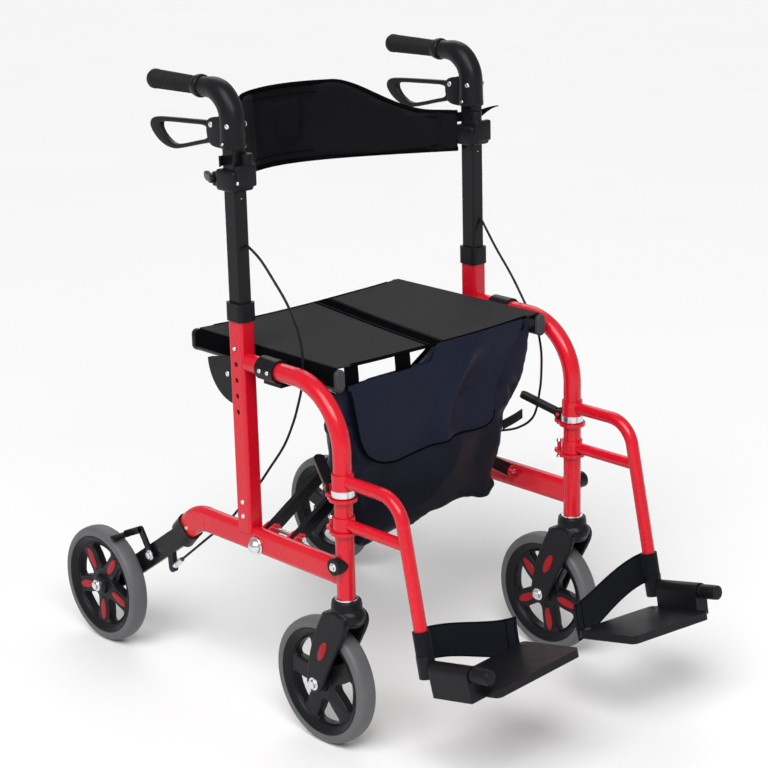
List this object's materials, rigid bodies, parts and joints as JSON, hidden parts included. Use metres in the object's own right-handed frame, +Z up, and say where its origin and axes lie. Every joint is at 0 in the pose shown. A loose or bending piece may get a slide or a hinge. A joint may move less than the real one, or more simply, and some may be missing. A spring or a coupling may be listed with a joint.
{
  "type": "rollator transport chair",
  "caption": "Folding wheeled walking frame with slung seat, hand brakes, height-adjustable handles, bowed backrest and swing-away footrests, for walking or being pushed.",
  "frame": {"origin": "on the floor, under the middle of the whole chair", "axes": "+X to the front where the footrests are, +Y to the sitter's left, +Z up"},
  "size_m": [1.0164, 0.5466, 0.9943],
  "materials": {
    "red_paint": "gloss",
    "black_metal": "satin",
    "bright_steel": "bright",
    "black_plastic": "satin",
    "grip_rubber": "matte",
    "tyre": "matte",
    "cable_sleeve": "satin",
    "seat_cloth": "woven",
    "bag_cloth": "woven",
    "back_cloth": "woven",
    "webbing": "woven"
  },
  "bodies": {
    "right_frame": {"right_upright": "red_paint", "right_front_tube": "red_paint", "right_lower_rail": "red_paint", "right_post_collar": "black_plastic", "right_seat_saddle": "black_plastic", "right_rear_bracket": "black_metal", "right_frame_bolts": "bright_steel", "right_frame_guards": "black_plastic", "right_brake_cable": "cable_sleeve"},
    "left_frame": {"left_upright": "red_paint", "left_front_tube": "red_paint", "left_lower_rail": "red_paint", "left_post_collar": "black_plastic", "left_seat_saddle": "black_plastic", "left_rear_bracket": "black_metal", "left_frame_bolts": "bright_steel", "left_frame_guards": "black_plastic", "left_brake_cable": "cable_sleeve"},
    "arm_a": {"cross_arm_a": "black_metal", "centre_bolt": "bright_steel"},
    "arm_b": {"cross_arm_b": "black_metal"},
    "seat": {"seat_fabric": "seat_cloth", "bag": "bag_cloth"},
    "right_post": {"right_handle_post": "black_metal", "right_handle_housing": "black_plastic", "right_grip": "grip_rubber", "right_backrest_clamp": "black_plastic", "backrest": "back_cloth"},
    "right_lever": {"right_brake_lever": "black_plastic"},
    "right_button": {"right_height_button": "bright_steel"},
    "right_shoe": {"right_brake_shoe": "black_metal"},
    "right_rear_wheel": {"right_rear_tyre": "tyre", "right_rear_rim": "black_plastic"},
    "right_caster": {"right_caster_fork": "black_plastic"},
    "right_front_wheel": {"right_front_tyre": "tyre", "right_front_rim": "black_plastic"},
    "right_clamp": {"right_foot_clamp": "red_paint"},
    "right_cam": {"right_cam_lever": "black_plastic"},
    "right_hanger": {"right_footrest_hanger": "red_paint", "right_footplate_bracket": "black_plastic", "right_heel_strap": "webbing"},
    "right_plate": {"right_footplate": "black_plastic"},
    "left_post": {"left_handle_post": "black_metal", "left_handle_housing": "black_plastic", "left_grip": "grip_rubber", "left_backrest_clamp": "black_plastic"},
    "left_lever": {"left_brake_lever": "black_plastic"},
    "left_button": {"left_height_button": "bright_steel"},
    "left_shoe": {"left_brake_shoe": "black_metal"},
    "left_rear_wheel": {"left_rear_tyre": "tyre", "left_rear_rim": "black_plastic"},
    "left_caster": {"left_caster_fork": "black_plastic"},
    "left_front_wheel": {"left_front_tyre": "tyre", "left_front_rim": "black_plastic"},
    "left_clamp": {"left_foot_clamp": "red_paint"},
    "left_cam": {"left_cam_lever": "black_plastic"},
    "left_hanger": {"left_footrest_hanger": "red_paint", "left_footplate_bracket": "black_plastic", "left_heel_strap": "webbing"},
    "left_plate": {"left_footplate": "black_plastic"}
  },
  "joints": [
    {"name": "fold", "type": "hinge", "parent": "right_frame", "child": "arm_a", "pos_m": [-0.01624, -0.222, 0.3003], "axis": [1, 0, 0], "range_deg": [0, 36.5], "deforming": ["seat_fabric", "bag", "backrest"]},
    {"name": "arm_b_turn", "type": "hinge", "parent": "arm_a", "child": "arm_b", "pos_m": [-0.01624, 0, 0.43617], "axis": [1, 0, 0], "range_deg": [-73, 0]},
    {"name": "left_frame_turn", "type": "hinge", "parent": "arm_b", "child": "left_frame", "pos_m": [-0.01624, 0.222, 0.3003], "axis": [1, 0, 0], "range_deg": [0, 36.5]},
    {"name": "seat_turn", "type": "hinge", "parent": "arm_a", "child": "seat", "pos_m": [-0.01624, 0.211, 0.5653], "axis": [1, 0, 0], "range_deg": [-36.5, 0]},
    {"name": "right_post_slide", "type": "slide", "parent": "right_frame", "child": "right_post", "axis": [0, 0, 1], "range_m": [-0.1, 0], "deforming": ["right_height_button", "right_brake_cable"]},
    {"name": "right_lever_squeeze", "type": "hinge", "parent": "right_post", "child": "right_lever", "pos_m": [-0.05624, -0.244, 0.9223], "axis": [0, 1, 0], "range_deg": [0, 14], "stiffness_Nm_per_rad": 0.8, "springref_deg": -17.19},
    {"name": "right_button_press", "type": "slide", "parent": "right_post", "child": "right_button", "axis": [0, 1, 0], "range_m": [0, 0.004], "stiffness_N_per_m": 400, "springref_m": -0.002},
    {"name": "right_shoe_press", "type": "hinge", "parent": "right_frame", "child": "right_shoe", "pos_m": [-0.2943, -0.244, 0.1771], "axis": [0, -1, 0], "range_deg": [0, 2]},
    {"name": "right_rear_roll", "type": "hinge", "parent": "right_frame", "child": "right_rear_wheel", "pos_m": [-0.40824, -0.252, 0.1], "axis": [0, 1, 0], "continuous": true},
    {"name": "right_caster_swivel", "type": "hinge", "parent": "right_frame", "child": "right_caster", "pos_m": [0.20476, -0.244, 0.24], "axis": [0, 0, 1], "continuous": true},
    {"name": "right_front_roll", "type": "hinge", "parent": "right_caster", "child": "right_front_wheel", "pos_m": [0.15176, -0.244, 0.1], "axis": [0, 1, 0], "continuous": true},
    {"name": "right_clamp_turn", "type": "hinge", "parent": "right_frame", "child": "right_clamp", "pos_m": [0.20476, -0.244, 0.3643], "axis": [0, 0, -1], "range_deg": [0, 20]},
    {"name": "right_cam_release", "type": "hinge", "parent": "right_clamp", "child": "right_cam", "pos_m": [0.17676, -0.244, 0.4143], "axis": [0.4226, 0.9063, 0], "range_deg": [0, 60]},
    {"name": "right_hanger_swing", "type": "hinge", "parent": "right_clamp", "child": "right_hanger", "pos_m": [0.20476, -0.244, 0.3643], "axis": [0, 0, -1], "range_deg": [0, 80]},
    {"name": "right_plate_flip", "type": "hinge", "parent": "right_hanger", "child": "right_plate", "pos_m": [0.37564, -0.244, 0.18827], "axis": [0.9781, 0, 0.2079], "range_deg": [0, 85]},
    {"name": "left_post_slide", "type": "slide", "parent": "left_frame", "child": "left_post", "axis": [0, 0, 1], "range_m": [-0.1, 0], "deforming": ["left_height_button", "left_brake_cable"]},
    {"name": "left_lever_squeeze", "type": "hinge", "parent": "left_post", "child": "left_lever", "pos_m": [-0.05624, 0.244, 0.9223], "axis": [0, 1, 0], "range_deg": [0, 14], "stiffness_Nm_per_rad": 0.8, "springref_deg": -17.19},
    {"name": "left_button_press", "type": "slide", "parent": "left_post", "child": "left_button", "axis": [0, -1, 0], "range_m": [0, 0.004], "stiffness_N_per_m": 400, "springref_m": -0.002},
    {"name": "left_shoe_press", "type": "hinge", "parent": "left_frame", "child": "left_shoe", "pos_m": [-0.2943, 0.244, 0.1771], "axis": [0, -1, 0], "range_deg": [0, 2]},
    {"name": "left_rear_roll", "type": "hinge", "parent": "left_frame", "child": "left_rear_wheel", "pos_m": [-0.40824, 0.252, 0.1], "axis": [0, 1, 0], "continuous": true},
    {"name": "left_caster_swivel", "type": "hinge", "parent": "left_frame", "child": "left_caster", "pos_m": [0.20476, 0.244, 0.24], "axis": [0, 0, 1], "continuous": true},
    {"name": "left_front_roll", "type": "hinge", "parent": "left_caster", "child": "left_front_wheel", "pos_m": [0.15176, 0.244, 0.1], "axis": [0, 1, 0], "continuous": true},
    {"name": "left_clamp_turn", "type": "hinge", "parent": "left_frame", "child": "left_clamp", "pos_m": [0.20476, 0.244, 0.3643], "axis": [0, 0, 1], "range_deg": [0, 20]},
    {"name": "left_cam_release", "type": "hinge", "parent": "left_clamp", "child": "left_cam", "pos_m": [0.17676, 0.244, 0.4143], "axis": [-0.4226, 0.9063, 0], "range_deg": [0, 60]},
    {"name": "left_hanger_swing", "type": "hinge", "parent": "left_clamp", "child": "left_hanger", "pos_m": [0.20476, 0.244, 0.3643], "axis": [0, 0, 1], "range_deg": [0, 80]},
    {"name": "left_plate_flip", "type": "hinge", "parent": "left_hanger", "child": "left_plate", "pos_m": [0.37938, 0.244, 0.17066], "axis": [-0.9781, 0, -0.2079], "range_deg": [0, 85]}
  ],
  "couplings": [
    {"joint": "arm_b_turn", "follows": "fold", "ratio": -2},
    {"joint": "left_frame_turn", "follows": "fold", "ratio": 1},
    {"joint": "seat_turn", "follows": "fold", "ratio": -1},
    {"joint": "right_shoe_press", "follows": "right_lever_squeeze", "ratio": 0.14286},
    {"joint": "right_clamp_turn", "follows": "fold", "ratio": 0.54795},
    {"joint": "left_shoe_press", "follows": "left_lever_squeeze", "ratio": 0.14286},
    {"joint": "left_clamp_turn", "follows": "fold", "ratio": 0.54795},
    {"joint": "left_post_slide", "follows": "right_post_slide", "ratio": 1}
  ]
}
